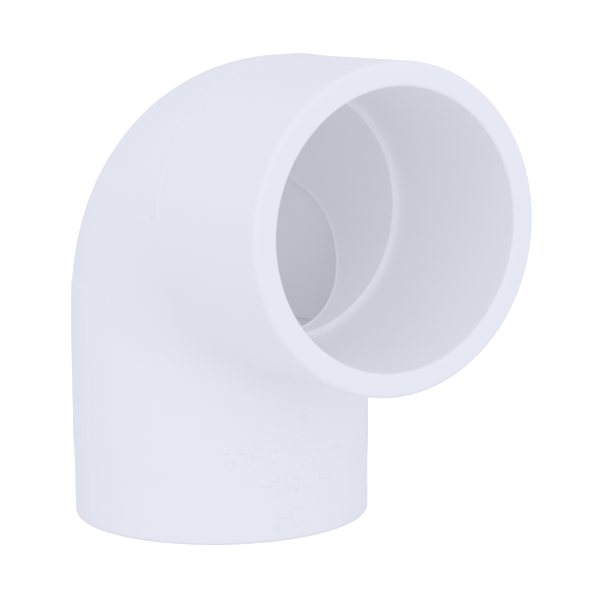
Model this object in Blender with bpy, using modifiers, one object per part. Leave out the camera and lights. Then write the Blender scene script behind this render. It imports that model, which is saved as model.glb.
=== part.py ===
"""Quarter-turn socket elbow for 1-1/2 in solvent-cemented PVC pipe.

One injection-moulded body: two sockets at right angles, joined by a short bend.
It stands on the rim of its lower socket.  Units are metres, +Z is up, the side
socket opens toward +X, and Y = 0 is the plane of symmetry.  The origin is the
middle of the footprint's box, on the resting plane.
"""

import math

import bmesh
import bpy
from mathutils import Matrix, Vector

MM = 0.001

# Driving dimensions, in millimetres
CENTRE_TO_FACE = 60.6      # crossing of the two axes to each socket face
SOCKET_MOUTH_R = 24.28     # socket entrance, 1.912 in across
SOCKET_ROOT_R = 24.05      # socket at its shoulder, 1.894 in across
SOCKET_DEPTH = 34.9        # socket face to the pipe-stop shoulder (1-3/8 in)
WATERWAY_R = 22.8          # clear bore between the shoulders
WATERWAY_BEND_R = 23.2     # centreline radius of the bore's rounded heel
HUB_RIM_R = 28.55          # outside of each hub at its rim (2-1/4 in across)
HUB_ROOT_R = 28.85         # outside of each hub where the bend begins (moulding draft)
BEND_RUN_SIDE = 26.6       # bend centreline's run along the side hub's axis
BEND_RUN_LOWER = 21.4      # bend centreline's run along the lower hub's axis
THROAT_FILLET = 4.5        # rounding where the hubs meet on the inside of the bend
RIM_ROUNDING = 0.9         # outer edge of each socket face
LEAD_IN = 0.6              # chamfer at each socket's mouth

# Fineness of the solids
SIDES = 48                 # facets round every tube
BEND_STEPS = 12            # rings through the outside of the bend
BORE_STEPS = 5             # rings through each half of the waterway's bend
RIM_STEPS = 3              # rings over the rounded rim
OVERRUN = 2.0              # how far a cutter runs past the face that it opens

# The crossing of the axes, measured from the origin
AXES_CROSSING = Vector(((HUB_ROOT_R - CENTRE_TO_FACE) / 2, 0.0, CENTRE_TO_FACE)) * MM

PVC_COLOUR = (0.86, 0.87, 0.92, 1.0)
PVC_ROUGHNESS = 0.32


def clear_scene():
    """Remove every object, so that a rerun starts empty."""
    for old in list(bpy.data.objects):
        bpy.data.objects.remove(old, do_unlink=True)


def make_collection(name):
    """Add a collection to the scene."""
    collection = bpy.data.collections.new(name)
    bpy.context.scene.collection.children.link(collection)
    return collection


def add_object(name, mesh, collection):
    """Link a mesh as an object whose local zero is the crossing of the axes."""
    obj = bpy.data.objects.new(name, mesh)
    obj.location = AXES_CROSSING
    collection.objects.link(obj)
    return obj


def loft(name, rings, collection):
    """Skin a row of closed rings that have equal point counts, and cap both ends."""
    bm = bmesh.new()
    loops = [[bm.verts.new(point * MM) for point in ring] for ring in rings]
    for near, far in zip(loops, loops[1:]):
        for i in range(len(near)):
            j = (i + 1) % len(near)
            bm.faces.new((near[i], near[j], far[j], far[i]))
    bm.faces.new(loops[0])
    bm.faces.new(loops[-1])
    bmesh.ops.recalc_face_normals(bm, faces=bm.faces)
    mesh = bpy.data.meshes.new(name)
    bm.to_mesh(mesh)
    bm.free()
    return add_object(name, mesh, collection)


def mirrored(point):
    """Reflect a point of the side hub to the lower hub, across the mitre plane."""
    return Vector((-point.z, point.y, -point.x))


# ---------------------------------------------------------------- outside

def hub_ring(distance, radius):
    """Circle round the side hub's axis, at a distance from the axes' crossing."""
    turns = [2 * math.pi * i / SIDES for i in range(SIDES)]
    return [Vector((distance, -radius * math.cos(t), radius * math.sin(t))) for t in turns]


def bend_ring(sweep):
    """Ring of the bend's outside at a sweep from 0 (side hub) to a quarter turn.

    Each point runs round a quarter ellipse in its own plane of constant Y.  The
    ellipse is large over the heel and shrinks to the fillet at the throat.
    """
    ring = []
    for i in range(SIDES):
        turn = 2 * math.pi * i / SIDES
        height = HUB_ROOT_R * math.sin(turn)
        over_heel = max(height, 0.0)
        to_throat = max(-math.sin(turn), 0.0)
        run_x = BEND_RUN_SIDE + over_heel - (BEND_RUN_SIDE - THROAT_FILLET) * to_throat
        run_z = BEND_RUN_LOWER + over_heel - (BEND_RUN_LOWER - THROAT_FILLET) * to_throat
        ring.append(Vector((
            -height + run_x * (1 - math.sin(sweep)),
            -HUB_ROOT_R * math.cos(turn),
            height - run_z * (1 - math.cos(sweep)),
        )))
    return ring


def rim_rings():
    """Rings of the side hub's rounded rim, from its face back to the full radius."""
    rings = []
    for k in range(RIM_STEPS + 1):
        angle = math.pi / 2 * k / RIM_STEPS
        radius = HUB_RIM_R - RIM_ROUNDING * (1 - math.sin(angle))
        rings.append(hub_ring(CENTRE_TO_FACE - RIM_ROUNDING * (1 - math.cos(angle)), radius))
    return rings


def outer_rings():
    """All rings of the outside, from the side rim round to the lower rim."""
    root = HUB_ROOT_R + THROAT_FILLET + RIM_ROUNDING
    side = rim_rings() + [hub_ring(root, HUB_ROOT_R)]
    bend = [bend_ring(math.pi / 2 * k / BEND_STEPS) for k in range(BEND_STEPS + 1)]
    lower = [[mirrored(point) for point in ring] for ring in reversed(side)]
    return side + bend + lower


# ---------------------------------------------------------------- inside

def waterway_ring(sweep):
    """Section of the bore by a plane through its bend's pivot line, up to the mitre.

    The heel half is the round bend's own circle.  The throat half is the straight
    bore carried on to the mitre, which leaves the crotch between the bores sharp.
    """
    pivot = WATERWAY_BEND_R
    crossing = 2 * pivot / (1 + math.cos(sweep)) - pivot
    start = math.asin(crossing / WATERWAY_R)
    half = SIDES // 2
    ring = []
    for i in range(half):
        turn = start + (math.pi - 2 * start) * i / half
        reach = pivot + WATERWAY_R * math.sin(turn)
        ring.append((reach, -WATERWAY_R * math.cos(turn)))
    for i in range(half):
        turn = math.pi - start - (math.pi - 2 * start) * i / half
        reach = (pivot - WATERWAY_R * math.sin(turn)) / math.cos(sweep)
        ring.append((reach, -WATERWAY_R * math.cos(turn)))
    return [
        Vector((pivot - reach * math.sin(sweep), y, reach * math.cos(sweep) - pivot))
        for reach, y in ring
    ]


def waterway_rings():
    """Rings of the bore, from inside the side socket to inside the lower socket."""
    mouth = CENTRE_TO_FACE - SOCKET_DEPTH + OVERRUN
    side = [hub_ring(mouth, WATERWAY_R)]
    side += [waterway_ring(math.pi / 4 * k / BORE_STEPS) for k in range(BORE_STEPS + 1)]
    lower = [[mirrored(point) for point in ring] for ring in reversed(side[:-1])]
    return side + lower


def socket_cutter(name, turn_to_axis, collection):
    """Turned plug that leaves one tapered socket with its shoulder and lead-in."""
    face = CENTRE_TO_FACE
    shoulder = CENTRE_TO_FACE - SOCKET_DEPTH
    mouth_r = SOCKET_MOUTH_R + LEAD_IN
    profile = [
        (0.0, face + OVERRUN),
        (mouth_r + OVERRUN, face + OVERRUN),
        (mouth_r, face),
        (SOCKET_MOUTH_R, face - LEAD_IN),
        (SOCKET_ROOT_R, shoulder),
        (0.0, shoulder),
    ]
    mesh = bpy.data.meshes.new(name)
    points = [(radius * MM, 0.0, height * MM) for radius, height in profile]
    edges = [(i, i + 1) for i in range(len(points) - 1)]
    mesh.from_pydata(points, edges, [])
    cutter = add_object(name, mesh, collection)
    cutter.rotation_euler = turn_to_axis.to_euler()
    screw = cutter.modifiers.new("Turn", "SCREW")
    screw.axis = "Z"
    screw.steps = SIDES
    screw.render_steps = SIDES
    screw.use_merge_vertices = True
    screw.merge_threshold = 0.00001
    return cutter


# ---------------------------------------------------------------- assembly

def cut(body, cutter):
    """Subtract a cutter, and keep it out of sight."""
    boolean = body.modifiers.new("Cut " + cutter.name, "BOOLEAN")
    boolean.operation = "DIFFERENCE"
    boolean.solver = "EXACT"
    boolean.object = cutter
    cutter.hide_render = True
    cutter.display_type = "WIRE"


def pvc_material():
    """White, slightly cool, semi-gloss PVC."""
    material = bpy.data.materials.new("white_pvc")
    material.use_nodes = True
    shader = material.node_tree.nodes["Principled BSDF"]
    shader.inputs["Base Color"].default_value = PVC_COLOUR
    shader.inputs["Roughness"].default_value = PVC_ROUGHNESS
    shader.inputs["Metallic"].default_value = 0.0
    return material


def main():
    """Build the elbow."""
    clear_scene()
    parts = make_collection("pvc_elbow_fitting")
    cutters = make_collection("cutters")

    body = loft("elbow_body", outer_rings(), parts)
    cut(body, loft("waterway_cutter", waterway_rings(), cutters))
    to_side = Matrix.Rotation(math.pi / 2, 3, "Y")
    to_lower = Matrix.Rotation(math.pi, 3, "Y")
    cut(body, socket_cutter("side_socket_cutter", to_side, cutters))
    cut(body, socket_cutter("lower_socket_cutter", to_lower, cutters))

    body.data.materials.append(pvc_material())
    body.data.shade_smooth()
    body.data.set_sharp_from_angle(angle=math.radians(35))


main()
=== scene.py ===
import math

import bpy
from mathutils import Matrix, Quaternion, Vector


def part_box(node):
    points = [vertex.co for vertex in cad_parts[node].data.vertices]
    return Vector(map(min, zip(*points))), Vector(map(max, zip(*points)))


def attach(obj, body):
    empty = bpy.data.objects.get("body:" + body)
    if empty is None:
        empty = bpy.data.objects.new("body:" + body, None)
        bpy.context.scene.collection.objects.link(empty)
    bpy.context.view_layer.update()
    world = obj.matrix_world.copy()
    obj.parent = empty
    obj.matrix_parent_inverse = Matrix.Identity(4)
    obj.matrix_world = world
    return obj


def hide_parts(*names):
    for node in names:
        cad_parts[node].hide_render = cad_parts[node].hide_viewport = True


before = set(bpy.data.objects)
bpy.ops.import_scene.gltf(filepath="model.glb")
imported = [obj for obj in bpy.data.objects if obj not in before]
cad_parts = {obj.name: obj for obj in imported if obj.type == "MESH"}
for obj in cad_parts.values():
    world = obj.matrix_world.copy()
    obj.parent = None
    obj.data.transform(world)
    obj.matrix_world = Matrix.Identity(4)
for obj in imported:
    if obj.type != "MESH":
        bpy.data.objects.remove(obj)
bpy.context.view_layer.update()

# the two sockets' axes cross here; every size below is in millimetres from this point
mm = 0.001
low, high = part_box("elbow_body")
hubHalf = (high.y - low.y) / 2
crossing = Vector((low.x + hubHalf, (low.y + high.y) / 2, high.z - hubHalf))
faceAt = (high.x - crossing.x) / mm
print("frame loaded: axes cross at", [round(v, 4) for v in crossing], "faces at", round(faceAt, 2))


def place(point):
    return crossing + Vector(point) * mm


def eased(share):
    share = min(max(share, 0.0), 1.0)
    return share * share * (3 - 2 * share)


def along(where, stops):
    # eased value between the two stops that where lies between
    for (here, first), (there, second) in zip(stops, stops[1:]):
        if where <= there:
            return first + (second - first) * eased((where - here) / (there - here))
    return stops[-1][1]


# camera

view = {
    "stand": (354.45, -206.09, 44.63),
    "aim": (10.25, 11.90, -19.25),
    "roll": -0.362,
    "lens": 128.85,
}

cameraData = bpy.data.cameras.new("camera")
cameraData.lens = view["lens"]
cameraData.sensor_width = 36.0
cameraData.clip_start = 0.01
cameraData.clip_end = 20.0
camera = bpy.data.objects.new("camera", cameraData)
bpy.context.scene.collection.objects.link(camera)
camera.location = place(view["stand"])
lookAlong = place(view["aim"]) - camera.location
camera.rotation_mode = "QUATERNION"
camera.rotation_quaternion = (
    lookAlong.to_track_quat("-Z", "Y") @ Quaternion((0, 0, 1), math.radians(view["roll"]))
)
bpy.context.scene.camera = camera
print("camera set")


# materials

class Wire:
    # one socket of a material; arithmetic on wires adds Math nodes
    def __init__(self, finish, socket):
        self.finish = finish
        self.socket = socket

    def maths(self, operation, first, second):
        return self.finish.add("ShaderNodeMath", {"operation": operation}, {0: first, 1: second})

    def __add__(self, other):
        return self.maths("ADD", self, other)

    def __radd__(self, other):
        return self.maths("ADD", other, self)

    def __sub__(self, other):
        return self.maths("SUBTRACT", self, other)

    def __rsub__(self, other):
        return self.maths("SUBTRACT", other, self)

    def __mul__(self, other):
        return self.maths("MULTIPLY", self, other)

    def __rmul__(self, other):
        return self.maths("MULTIPLY", other, self)


class Finish:
    # a material or a world, and the shader that it starts with
    def __init__(self, owner, shader="Principled BSDF"):
        self.owner = owner
        self.owner.use_nodes = True
        self.nodes = owner.node_tree.nodes
        self.links = owner.node_tree.links
        self.shader = self.nodes[shader]

    def feed(self, socket, value):
        if isinstance(value, Wire):
            self.links.new(value.socket, socket)
        else:
            socket.default_value = value

    def add(self, kind, settings, sockets, output=0):
        node = self.nodes.new(kind)
        for setting, value in settings.items():
            setattr(node, setting, value)
        for socket, value in sockets.items():
            self.feed(node.inputs[socket], value)
        return Wire(self, node.outputs[output])

    def blend(self, share, first, second):
        # from the first colour to the second; both are sockets of a Mix node set to colours
        return self.add("ShaderNodeMix", {"data_type": "RGBA"}, {
            0: share, 6: first, 7: second,
        }, output=2)

    def surface(self, sockets):
        for socket, value in sockets.items():
            self.feed(self.shader.inputs[socket], value)

    def seenAs(self, shader, end):
        # the camera sees this shader, and everything else keeps the first one
        seen = self.add("ShaderNodeLightPath", {}, {}, output="Is Camera Ray")
        mixed = self.add("ShaderNodeMixShader", {}, {
            0: seen, 1: Wire(self, self.shader.outputs[0]), 2: shader,
        })
        self.feed(self.nodes[end].inputs["Surface"], mixed)


def pvcFinish(look):
    finish = Finish(bpy.data.materials.new("white_pvc"))
    where = finish.add("ShaderNodeTexCoord", {}, {}, output="Object")

    def noise(scale, detail, harshness):
        return finish.add("ShaderNodeTexNoise", {}, {
            "Vector": where, "Scale": scale, "Detail": detail, "Roughness": harshness,
        })

    # slow clouding of the resin, and small specks of duller skin
    cloud = noise(*look["cloud"])
    speck = noise(*look["speck"])
    tint = finish.blend(cloud, look["white"], look["coolWhite"])

    # fine grain of the mould's steel, with a softer waviness under it
    grain = noise(*look["grain"])
    wave = noise(*look["wave"])
    relief = finish.add("ShaderNodeBump", {}, {
        "Strength": look["reliefStrength"],
        "Distance": look["reliefDepth"],
        "Height": grain * look["grainShare"] + wave * (1 - look["grainShare"]),
    })
    drift = (cloud - 0.5) * look["glossDrift"] + (speck - 0.5) * look["glossSpeck"]
    finish.surface({
        "Base Color": tint,
        "Roughness": look["roughness"] + drift,
        "Normal": relief,
        "IOR": look["ior"],
    })
    return finish.owner


# the elbow: one moulding, drawn as rings from the side face round to the lower face and back inside

elbow = {
    "bendRadius": 28.6,           # section radius of the bend's outside
    "runSide": 25.5,              # bend's centre from the crossing, along the side hub
    "runLower": 20.4,             # and along the lower hub
    "throatFillet": 4.5,          # smallest rounding where the hubs meet
    "sideHub": ((25.5, 28.68), (31.0, 28.70), (34.5, 28.62)),   # radius at distances along
    "lowerHub": ((20.4, 28.60), (24.0, 28.70), (45.0, 28.70), (52.0, 28.52)),
    "hubBlend": 9.0,              # degrees of the bend over which the side hub's size fades
    "rimRounding": 0.8,
    "crispFrom": 35.0,            # edges sharper than this many degrees stay crisp
    "partingTurn": 1.2,           # parting lines down the lower hub, in degrees off its middle
    "partingHeight": 0.13,
    "partingWidth": 0.27,
    "insert": {                   # the mould's separate insert over the heel
        "sink": 0.10,             # how much lower it sits than the hubs
        "edgeTurn": 0.8,          # its two sides, in degrees above the middle plane
        "edgeWidth": 0.9,
        "seamAt": 27.8,           # plane of its seam on the side hub
        "seamStep": 0.3,
        "seamHeight": 0.19,
        "seamWidth": 0.31,
        "drop": 14.8,             # its lower edge, below the crossing
        "dropStep": 0.6,
        "dropEnd": -1.5,          # the lower edge's line stops this far under the middle plane
        "heelReach": 40.0,        # rough radius of the heel, which turns sweep into distance
        "pitAt": (25.9, 0.60),    # small pit at its corner: along the hub, and round it
        "pitDepth": 0.90,
        "pitWidth": 0.40,
    },
    "bore": {
        "mouth": 24.28,           # socket radius at its face
        "root": 24.05,            # and at its shoulder
        "depth": 34.9,
        "mouthEdge": 0.50,
        "waterway": 22.8,
        "waterwayBend": 23.2,
        "shoulderEdge": 0.12,
        "edgeBow": 0.3,           # that edge's middle row: how far in, as a share of its size
        "shoulderFillet": 1.3,    # rounding at the shoulder's root, along the wall
        "shoulderFoot": 0.55,     # and across its face
        "crotchEase": 14.0,       # degrees over which the mitre's ridge runs into the heel
        "bead": 0.25,             # thin raised line where the two cores met inside the bend
        "lowerOver": 0.35,        # the lower core was this much larger just past it
        "lowerGrowth": 30.0,      # degrees over which it grew
        "heelFade": (12, 28),     # degrees up the heel where that starts to fade, and the fade
    },
    "ticks": {                    # raised generic ticks low on the lower hub
        "height": 0.32,
        "half": 0.12,             # half width of a stroke's flat top, and then its slope
        "slope": 0.30,
        "dash": 0.7,              # half length of a dash, and of a short one
        "shortDash": 0.3,
        "shortAt": 0.38,          # where a short dash and a dot lie, in the tick's height
        "dotAt": (0.15, 0.42),
        "near": (3.2, 3.6),       # strokes past this are too far off to matter
        "turns": (-134, -57),     # they all lie between these, in degrees round the hub
        "below": 34.0,            # and further down it than this
        # one sign a place: where the row starts in degrees round the hub, the step from sign to
        # sign, how far down it lies, and the signs' height
        "signs": [
            (":.'|-.:'", -61.5, -2.9, 44.1, 2.7),
            ("|.'", -92.4, -3.0, 45.2, 2.7),
            ("':.|", -106.0, -3.4, 45.2, 2.5),
            ("'.", -127.0, -3.2, 44.8, 2.2),
            ("-'|.:", -76.5, -3.0, 49.7, 2.5),
            (".|-'", -95.4, -3.0, 49.6, 2.4),
            ("|-:.'", -80.0, -4.3, 55.9, 4.4),
            ("'", -91.0, -3.0, 37.8, 1.4),
            (":", -92.5, -3.0, 38.8, 2.4),
            ("-", -88.7, -3.0, 42.0, 1.0),
        ],
    },
    "spacing": {                  # how closely the rings and columns lie
        "fineTurn": 0.6,          # degrees round, between two columns
        "wideTurn": 2.4,
        "fineTurns": ((-180, -177), (-134, -57), (-3, 4), (176, 180)),
        "besideRim": 0.1,         # support rows beside a rounding: on a wall, at an edge, on a face
        "besideEdge": 0.08,
        "besideFoot": 0.05,
        "rounding": 6,            # steps round a rim or a fillet, and round a mouth's edge
        "mouthRounding": 4,
        "hubStart": 2.0,          # first row of the side hub past its rim, and the distance on
        "hub": 2.5,
        "seam": (29.6, 25.7, 0.16),
        "heel": ((0, 0.9, 0.02), (0.9, 0.985, 0.0085), (0.985, 1.02, 0.003), (1.02, 2, 0.07)),
        "lowerHub": 1.0,
        "ticks": (25, 0.4),       # from here down, at this distance
        "wallStart": 2.0,         # socket wall: first row from the face, the distance on, and
        "wall": 3.0,              # how far short of the fillet it ends
        "wallEnd": 0.3,
        "bore": 2.5,              # degrees, up to each side's last rows before the mitre
        "lowerBore": 43.4,
        "sideBore": (43.0, 43.8),
        "lowerBead": ((44.2, 0.1), (44.7, 0.8)),     # degrees, and the bead's share there
        "sideBead": ((45.0, 1.0), (44.5, 0.8)),
    },
}
insert, bore, ticks, spacing = (elbow[group] for group in ("insert", "bore", "ticks", "spacing"))


def tickStrokes():
    # each sign as straight strokes: two ends on the unrolled hub, in millimetres
    strokes = []
    dash, shortDash = ticks["dash"], ticks["shortDash"]
    dotTop, dotEnd = ticks["dotAt"]
    for signs, start, step, down, size in ticks["signs"]:
        for i, sign in enumerate(signs):
            across = math.radians(start + i * step) * elbow["bendRadius"]
            if sign == "|":
                strokes.append((across, down - size / 2, across, down + size / 2))
            if sign == "-":
                strokes.append((across - dash, down, across + dash, down))
            if sign in "':":
                level = down - size * ticks["shortAt"]
                strokes.append((across - shortDash, level, across + shortDash, level))
            if sign in ".:":
                strokes.append((across, down + size * dotTop, across, down + size * dotEnd))
    return strokes


def tickRise(strokes, across, down):
    # how high the nearest stroke lifts the surface here
    nearest = math.inf
    nearAcross, nearDown = ticks["near"]
    for ax, ay, bx, by in strokes:
        if abs(across - (ax + bx) / 2) > nearAcross or abs(down - (ay + by) / 2) > nearDown:
            continue
        dx, dy = bx - ax, by - ay
        share = ((across - ax) * dx + (down - ay) * dy) / (dx * dx + dy * dy)
        share = min(max(share, 0), 1)
        nearest = min(nearest, math.hypot(across - ax - share * dx, down - ay - share * dy))
    return ticks["height"] * (1 - eased((nearest - ticks["half"]) / ticks["slope"]))


def columnTurns():
    # finer columns over the ticks and along the heel insert's two sides
    turns = []
    turn = -180.0
    while turn < 179.0:           # one more would lie on the first
        turns.append(math.radians(turn))
        fine = any(start <= turn < end for start, end in spacing["fineTurns"])
        turn += spacing["fineTurn"] if fine else spacing["wideTurn"]
    return turns


def insertShare(turn):
    # 1 over the heel insert, 0 outside it
    edge, width = math.radians(insert["edgeTurn"]), math.radians(insert["edgeWidth"])
    return eased((turn - edge) / width + 0.5) * eased((math.pi - edge - turn) / width + 0.5)


def seamSweep(turn):
    # the sweep at which the insert's lower edge crosses this column
    height = max(elbow["bendRadius"] * math.sin(turn), insert["dropEnd"])
    return math.acos((elbow["runLower"] - insert["drop"]) / (elbow["runLower"] + height))


def bendRun(run, turn):
    # how far the bend's curve reaches along a hub: the whole section over the heel, and under
    # the middle plane a blend that tightens to the fillet at the throat
    height = math.sin(turn)
    if turn >= 0:
        return run + elbow["bendRadius"] * height
    return run + (run - elbow["throatFillet"]) * height


def stretched(station, run, turn):
    # a hub's station moved along, so that the hub starts where the bend ends in this column
    hubStart = bendRun(run, turn) - elbow["bendRadius"] * math.sin(turn)
    return rimFoot - (rimFoot - station) * (rimFoot - hubStart) / (rimFoot - run)


def sideHubRing(station):
    pitAlong, pitRound = insert["pitAt"]
    ring = []
    for turn in turns:
        x = stretched(station, elbow["runSide"], turn)
        radius = along(station, elbow["sideHub"])
        before = eased((insert["seamAt"] - x) / insert["seamStep"] + 0.5)
        bead = math.exp(-((x - insert["seamAt"]) / insert["seamWidth"]) ** 2)
        radius += insertShare(turn) * (bead * insert["seamHeight"] - before * insert["sink"])
        away = math.hypot(x - pitAlong, turn * radius - pitRound) / insert["pitWidth"]
        radius -= insert["pitDepth"] * math.exp(-away * away)
        ring.append((x, -radius * math.cos(turn), radius * math.sin(turn)))
    return ring


def bendRing(share):
    # share 0 to 1 runs to the insert's lower edge, and 1 to 2 from there to the lower hub
    hubStep = elbow["sideHub"][0][1] - elbow["bendRadius"]
    ring = []
    for turn in turns:
        edge = seamSweep(turn)
        span = edge if share < 1 else math.pi / 2 - edge
        sweep = edge + span * (share - 1)
        past = (share - 1) * span * insert["heelReach"]
        over = 1 - eased(past / insert["dropStep"] + 0.5)
        radius = elbow["bendRadius"] - insertShare(turn) * insert["sink"] * over
        radius += hubStep * (1 - eased(math.degrees(sweep) / elbow["hubBlend"]))
        height = radius * math.sin(turn)
        runX = bendRun(elbow["runSide"], turn)
        runZ = bendRun(elbow["runLower"], turn)
        ring.append((
            -height + runX * (1 - math.sin(sweep)),
            -radius * math.cos(turn),
            height - runZ * (1 - math.cos(sweep)),
        ))
    return ring


def lowerHubRing(station, strokes):
    hubGrown = elbow["lowerHub"][1][0]
    parting = math.radians(elbow["partingTurn"])
    firstTurn, lastTurn = (math.radians(turn) for turn in ticks["turns"])
    ring = []
    for turn in turns:
        down = stretched(station, elbow["runLower"], turn)
        radius = along(station if station < hubGrown else down, elbow["lowerHub"])
        if down > ticks["below"] and firstTurn < turn < lastTurn:
            radius += tickRise(strokes, turn * elbow["bendRadius"], down)
        offLine = min(abs(turn - parting), abs(math.pi - parting - turn)) * radius
        radius += elbow["partingHeight"] * math.exp(-(offLine / elbow["partingWidth"]) ** 2)
        ring.append((-radius * math.sin(turn), -radius * math.cos(turn), -down))
    return ring


def plainRing(x, radius):
    return [(x, -radius * math.cos(turn), radius * math.sin(turn)) for turn in turns]


def mirrored(ring):
    # the side hub's ring carried over to the lower hub, across the mitre
    return [(-z, y, -x) for x, y, z in ring]


def waterwayPoint(sweep, turn, swell):
    # reach from the bend's pivot line, and distance off the middle plane
    pivot = bore["waterwayBend"]
    fadeFrom, fadeOver = bore["heelFade"]
    offPlane = math.degrees(math.pi / 2 - abs(turn - math.pi / 2))
    radius = bore["waterway"] + swell * (1 - eased((offPlane - fadeFrom) / fadeOver))
    start = math.asin((2 * pivot / (1 + math.cos(sweep)) - pivot) / radius)
    inner = start + (math.pi - 2 * start) * abs(turn) / math.pi
    if turn >= 0:
        reach = pivot + radius * math.sin(inner)
    else:
        reach = (pivot - radius * math.sin(inner)) / math.cos(sweep)
    return reach, -radius * math.cos(inner)


def wrapped(turn):
    return (turn + math.pi) % (2 * math.pi) - math.pi


def waterwayRing(degrees, swell=0.0):
    # round heel on one side, and the straight bore carried on to the mitre on the other, eased
    # together where they meet; swell widens the bore, and fades over the heel
    pivot, sweep = bore["waterwayBend"], math.radians(degrees)
    ease = math.radians(bore["crotchEase"]) * math.sin(sweep)
    ring = []
    for turn in turns:
        near = min(abs(turn), math.pi - abs(turn))
        window = ease * (1 - eased(near / (3 * ease))) if ease > 0 else 0.0
        around = [waterwayPoint(sweep, wrapped(turn + window * k), swell)
                  for k in (-1, -0.5, 0, 0.5, 1)]
        reach, y = (sum(values) / len(around) for values in zip(*around))
        ring.append((pivot - reach * math.sin(sweep), y, reach * math.cos(sweep) - pivot))
    return ring


def spread(start, stop, step):
    count = max(1, round(abs(stop - start) / step))
    return [start + (stop - start) * i / count for i in range(count)]


def roundedRim(outer):
    # from the rim's full radius, over its rounded edge, to the flat face
    size, steps = elbow["rimRounding"], spacing["rounding"]
    profile = []
    for i in range(steps + 1):
        inward = 1 - math.cos(math.pi / 2 * i / steps)
        back = 1 - math.sin(math.pi / 2 * i / steps)
        profile.append((faceAt - size * back, outer - size * inward))
    profile.append((faceAt, outer - size - spacing["besideEdge"]))
    return profile


def socketProfile():
    # from the flat face, over the mouth's edge and down the tapered wall to the bore
    edge, mouth, root, inner = (bore[size] for size in ("mouthEdge", "mouth", "root", "waterway"))
    beside, steps = spacing["besideEdge"], spacing["mouthRounding"]
    shoulder = faceAt - bore["depth"]
    profile = [(faceAt, mouth + edge + beside)]
    for i in range(steps + 1):
        inward = 1 - math.sin(math.pi / 2 * i / steps)
        back = 1 - math.cos(math.pi / 2 * i / steps)
        profile.append((faceAt - edge * back, mouth + edge * inward))
    profile.append((faceAt - edge - beside, mouth))

    fillet, foot, small = bore["shoulderFillet"], bore["shoulderFoot"], bore["shoulderEdge"]
    wallEnd = shoulder + fillet + spacing["wallEnd"]
    wall = spread(faceAt - spacing["wallStart"], wallEnd, spacing["wall"])
    for x in wall + [wallEnd - spacing["besideRim"]]:
        profile.append((x, mouth + (root - mouth) * (faceAt - x) / bore["depth"]))
    steps = spacing["rounding"]
    for i in range(steps + 1):
        inward = 1 - math.cos(math.pi / 2 * i / steps)
        back = 1 - math.sin(math.pi / 2 * i / steps)
        profile.append((shoulder + fillet * back, root - foot * inward))

    bow = small * bore["edgeBow"]
    profile += [
        (shoulder, root - foot - spacing["besideFoot"]),
        (shoulder, inner + small + spacing["besideFoot"]), (shoulder, inner + small),
        (shoulder - bow, inner + bow),
        (shoulder - small, inner), (shoulder - small - beside, inner),
    ]
    return profile


def skin(name, rings):
    # rings of equal count, closed round and closed end to end
    count = len(rings[0])
    points = [place(point) for ring in rings for point in ring]
    faces = []
    for i in range(len(rings)):
        here, there = i * count, (i + 1) % len(rings) * count
        for j in range(count):
            k = (j + 1) % count
            faces.append((here + j, here + k, there + k, there + j))
    mesh = bpy.data.meshes.new(name)
    mesh.from_pydata([tuple(p) for p in points], [], faces)
    mesh.validate()
    mesh.shade_smooth()
    mesh.set_sharp_from_angle(angle=math.radians(elbow["crispFrom"]))
    piece = bpy.data.objects.new(name, mesh)
    bpy.context.scene.collection.objects.link(piece)
    return piece


turns = columnTurns()
strokes = tickStrokes()
rimFoot = faceAt - elbow["rimRounding"]
lastRow = rimFoot - spacing["besideRim"]

# the outside, from the side face to the lower face
rings = [plainRing(x, radius) for x, radius in reversed(roundedRim(elbow["sideHub"][-1][1]))]
seamFrom, seamTo, seamRow = spacing["seam"]
sideStations = [lastRow] + spread(rimFoot - spacing["hubStart"], seamFrom, spacing["hub"])
rings += [sideHubRing(x) for x in sideStations + spread(seamFrom, seamTo, seamRow)]
rings += [bendRing(share) for span in spacing["heel"] for share in spread(*span)]
ticksFrom, tickRow = spacing["ticks"]
lowerStations = spread(elbow["runLower"], ticksFrom, spacing["lowerHub"])
lowerStations += spread(ticksFrom, lastRow, tickRow) + [lastRow]
rings += [lowerHubRing(station, strokes) for station in lowerStations]
rings += [mirrored(plainRing(x, radius)) for x, radius in roundedRim(elbow["lowerHub"][-1][1])]

# and back inside: lower socket and bore, the mitre at half a right angle, side bore and socket
socket = [plainRing(x, radius) for x, radius in socketProfile()]
rings += [mirrored(ring) for ring in socket]
lowerEnd = spacing["lowerBore"]
for degrees in spread(0, lowerEnd, spacing["bore"]) + [lowerEnd]:
    swell = bore["lowerOver"] * eased(degrees / bore["lowerGrowth"])
    rings.append(mirrored(waterwayRing(degrees, swell)))
for degrees, share in spacing["lowerBead"]:
    rings.append(mirrored(waterwayRing(degrees, -bore["bead"] * share)))
for degrees, share in spacing["sideBead"]:
    rings.append(waterwayRing(degrees, -bore["bead"] * share))
sideDegrees = spread(0, spacing["sideBore"][0], spacing["bore"]) + list(spacing["sideBore"])
sideBore = [waterwayRing(degrees) for degrees in sideDegrees]
rings += reversed(sideBore)
rings += reversed(socket)
elbowBody = skin("elbow_moulding", rings)
print("moulding made:", len(rings), "rings of", len(turns), "points")

pvcLook = {
    "white": (0.963, 0.961, 0.961, 1.0),
    "coolWhite": (0.949, 0.954, 0.965, 1.0),
    "roughness": 0.34,
    "glossDrift": 0.10,
    "glossSpeck": 0.06,
    "cloud": (45.0, 3.0, 0.55),           # scale, detail and harshness of each pattern
    "speck": (900.0, 2.0, 0.6),
    "grain": (2600.0, 4.0, 0.6),
    "wave": (160.0, 1.0, 0.4),
    "grainShare": 0.35,
    "reliefStrength": 0.12,
    "reliefDepth": 0.00012,
    "ior": 1.46,
}
elbowBody.data.materials.append(pvcFinish(pvcLook))
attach(elbowBody, "root")
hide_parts("elbow_body")
print("finish laid on")


# floor and light

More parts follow.
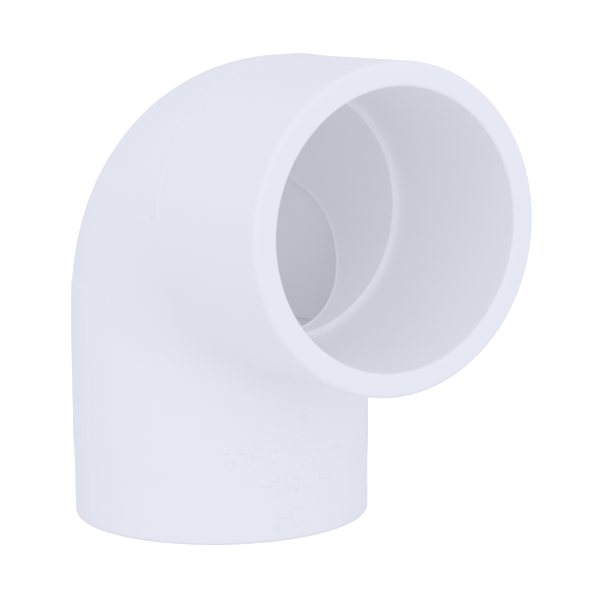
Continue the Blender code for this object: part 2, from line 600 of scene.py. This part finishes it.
studio = {
    "floorSize": 24.0,
    "floorShade": (0.85, 0.85, 0.85, 1.0),
    "floorRoughness": 0.9,
    "floorSpecular": 0.1,
    "floorGlow": 0.68,
    "horizon": (0.788, 0.822, 0.979, 1.0),
    "overhead": (0.581, 0.606, 0.722, 1.0),
    "front": (0.90, -0.43, 0.0),
    "frontShare": 0.13,
    "backdrop": (1.0, 1.0, 1.0, 1.0),
    "gamma": 1.6,
}


def floorFinish():
    # pale paper, lit up a little for the eye alone
    paper = {
        "Base Color": studio["floorShade"],
        "Roughness": studio["floorRoughness"],
        "Specular IOR Level": studio["floorSpecular"],
    }
    finish = Finish(bpy.data.materials.new("studio_floor"))
    finish.surface(paper)
    litPaper = finish.add("ShaderNodeBsdfPrincipled", {}, {
        **paper,
        "Emission Color": studio["backdrop"],
        "Emission Strength": studio["floorGlow"],
    })
    finish.seenAs(litPaper, "Material Output")
    return finish.owner


half = studio["floorSize"] / 2
floorMesh = bpy.data.meshes.new("floor")
corners = [(-half, -half, 0), (half, -half, 0), (half, half, 0), (-half, half, 0)]
floorMesh.from_pydata(corners, [], [(0, 1, 2, 3)])
floor = bpy.data.objects.new("floor", floorMesh)
floor.location = (crossing.x, crossing.y, low.z)
bpy.context.scene.collection.objects.link(floor)
floorMesh.materials.append(floorFinish())


def studioSky():
    # brighter from the front and all round, dimmer overhead, and plain white to look at
    sky = Finish(bpy.data.worlds.new("studio_sky"), "Background")
    heading = sky.add("ShaderNodeTexCoord", {}, {}, output="Generated")
    frontness = sky.add("ShaderNodeVectorMath", {"operation": "DOT_PRODUCT"}, {
        0: heading, 1: studio["front"],
    }, output="Value")
    height = sky.add("ShaderNodeSeparateXYZ", {}, {0: heading}, output="Z")
    dome = sky.blend(height, studio["horizon"], studio["overhead"])
    sky.surface({"Color": dome, "Strength": 1.0 + frontness * studio["frontShare"]})
    sky.seenAs(sky.add("ShaderNodeBackground", {}, {"Color": studio["backdrop"]}), "World Output")
    return sky.owner


bpy.context.scene.world = studioSky()

softboxes = [
    # name, where it stands, width, power, colour
    ("front", (900, -230, 200), 0.50, 0.52, (0.96, 0.97, 1.0)),
    ("side", (-60, -900, 120), 0.60, 0.18, (0.96, 0.97, 1.0)),
]
for name, stand, width, power, colour in softboxes:
    lampData = bpy.data.lights.new(name, "AREA")
    lampData.shape = "SQUARE"
    lampData.size = width
    lampData.energy = power
    lampData.color = colour
    lamp = bpy.data.objects.new(name, lampData)
    lamp.location = place(stand)
    lamp.rotation_mode = "QUATERNION"
    lamp.rotation_quaternion = (crossing - lamp.location).to_track_quat("-Z", "Y")
    bpy.context.scene.collection.objects.link(lamp)

bpy.context.scene.view_settings.view_transform = "Standard"
bpy.context.scene.view_settings.gamma = studio["gamma"]
bpy.context.scene.cycles.max_bounces = 24              # light goes many times across the white bore
bpy.context.scene.cycles.diffuse_bounces = 20
print("studio lit")
